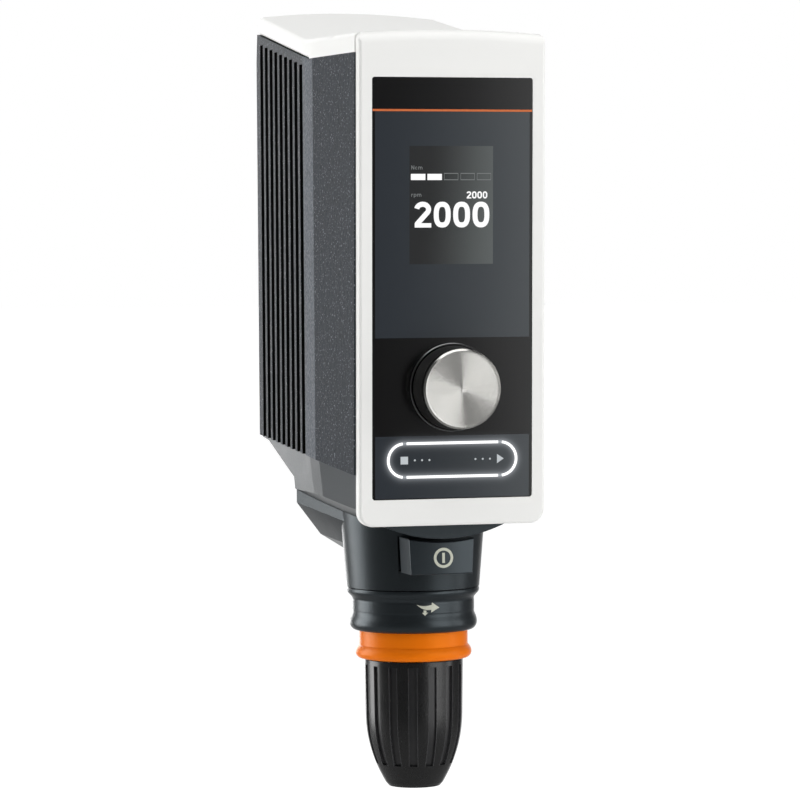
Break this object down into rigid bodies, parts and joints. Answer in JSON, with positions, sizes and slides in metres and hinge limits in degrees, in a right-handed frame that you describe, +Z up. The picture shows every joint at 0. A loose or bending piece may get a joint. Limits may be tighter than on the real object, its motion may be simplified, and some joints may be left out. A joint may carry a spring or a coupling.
{
  "type": "overhead stirrer",
  "caption": "Overhead stirrer drive head with leaning display panel, control knob, finned flanks, locking collar, keyless chuck and rear support rod.",
  "frame": {"origin": "centre of the chuck's nose face, at the mouth of the shaft bore, on the spindle axis", "axes": "+X to the right seen from the front, -Y out of the front panel, +Z up along the spindle axis"},
  "size_m": [0.093, 0.3297, 0.3533],
  "materials": {
    "white_shell": "fine satin texture",
    "dark_shell": "hammered dark grey paint",
    "dark_housing": "satin dark grey",
    "panel_glass": "gloss, printed from behind",
    "display": "display face",
    "light_guide": "milky light guide",
    "circuit_board": "green solder mask",
    "bright_ring": "bright",
    "knob_black": "gloss black",
    "knob_metal": "radially brushed",
    "steel": "ground",
    "black_plastic": "satin black",
    "chuck_black": "satin black",
    "orange": "satin orange",
    "aluminium": "cast",
    "belt_rubber": "moulded",
    "motor_steel": "black can",
    "copper_core": "laminated"
  },
  "bodies": {
    "housing": {"front_frame": "white_shell", "top_hood": "white_shell", "front_glass": "panel_glass", "display_module": "display", "light_guide": "light_guide", "control_board": "circuit_board", "knob_ring": "bright_ring", "encoder_body": "black_plastic", "side_shell_left": "dark_shell", "side_shell_right": "dark_shell", "rear_cover": "dark_shell", "rear_screws": "steel", "lower_housing": "dark_housing", "power_switch": "black_plastic", "lower_bearing": "steel", "upper_bearing": "steel", "drive_belt": "belt_rubber", "motor_stator": "motor_steel", "drive_frame": "aluminium", "power_board": "circuit_board", "mains_inlet": "black_plastic", "support_rod": "steel", "rod_nut": "steel"},
    "knob_plunger": {"encoder_plunger": "steel"},
    "knob": {"knob_grip": "knob_black", "knob_cap": "knob_metal", "knob_shaft": "steel"},
    "power_button": {"power_button": "dark_housing"},
    "cam_ring": {"cam_ring": "black_plastic"},
    "lock_collar": {"lock_collar": "dark_housing"},
    "spindle": {"spindle": "steel", "spindle_pulley": "aluminium", "drive_ring": "orange", "chuck_body": "steel"},
    "motor": {"motor_rotor": "copper_core", "motor_pulley": "aluminium"},
    "chuck_sleeve": {"chuck_sleeve": "chuck_black", "jaw_nut": "steel"},
    "jaw_1": {"jaw_1": "steel"},
    "jaw_2": {"jaw_2": "steel"},
    "jaw_3": {"jaw_3": "steel"}
  },
  "joints": [
    {"name": "knob_press", "type": "slide", "parent": "housing", "child": "knob_plunger", "axis": [0, 0.9996, 0.0284], "range_m": [0, 0.0006], "stiffness_N_per_m": 2000, "springref_m": -0.0005},
    {"name": "knob_turn", "type": "hinge", "parent": "knob_plunger", "child": "knob", "pos_m": [0, -0.06407, 0.18038], "axis": [0, -0.9996, -0.0284], "continuous": true},
    {"name": "power_press", "type": "slide", "parent": "housing", "child": "power_button", "axis": [0, 1, 0], "range_m": [0, 0.0015], "stiffness_N_per_m": 800, "springref_m": -0.001},
    {"name": "collar_turn", "type": "hinge", "parent": "housing", "child": "cam_ring", "pos_m": [0, 0, 0.08], "axis": [0, 0, 1], "range_deg": [0, 30]},
    {"name": "collar_drop", "type": "slide", "parent": "cam_ring", "child": "lock_collar", "axis": [0, 0, -1], "range_m": [0, 0.005]},
    {"name": "spindle_spin", "type": "hinge", "parent": "housing", "child": "spindle", "pos_m": [0, 0, 0], "axis": [0, 0, 1], "continuous": true},
    {"name": "motor_spin", "type": "hinge", "parent": "housing", "child": "motor", "pos_m": [0, 0.056, 0.17], "axis": [0, 0, 1], "continuous": true},
    {"name": "sleeve_turn", "type": "hinge", "parent": "spindle", "child": "chuck_sleeve", "pos_m": [0, 0, 0.03], "axis": [0, 0, 1], "range_deg": [0, 1440]},
    {"name": "jaw_1_slide", "type": "slide", "parent": "spindle", "child": "jaw_1", "axis": [-0.2387, -0.1378, -0.9613], "range_m": [0, 0.014]},
    {"name": "jaw_2_slide", "type": "slide", "parent": "spindle", "child": "jaw_2", "axis": [0.2387, -0.1378, -0.9613], "range_m": [0, 0.014]},
    {"name": "jaw_3_slide", "type": "slide", "parent": "spindle", "child": "jaw_3", "axis": [0, 0.2756, -0.9613], "range_m": [0, 0.014]}
  ],
  "couplings": [
    {"joint": "collar_drop", "follows": "collar_turn", "m_per_rad": 0.0095493},
    {"joint": "motor_spin", "follows": "spindle_spin", "ratio": 2.4545},
    {"joint": "jaw_1_slide", "follows": "sleeve_turn", "m_per_rad": 0.00055704},
    {"joint": "jaw_2_slide", "follows": "sleeve_turn", "m_per_rad": 0.00055704},
    {"joint": "jaw_3_slide", "follows": "sleeve_turn", "m_per_rad": 0.00055704}
  ]
}
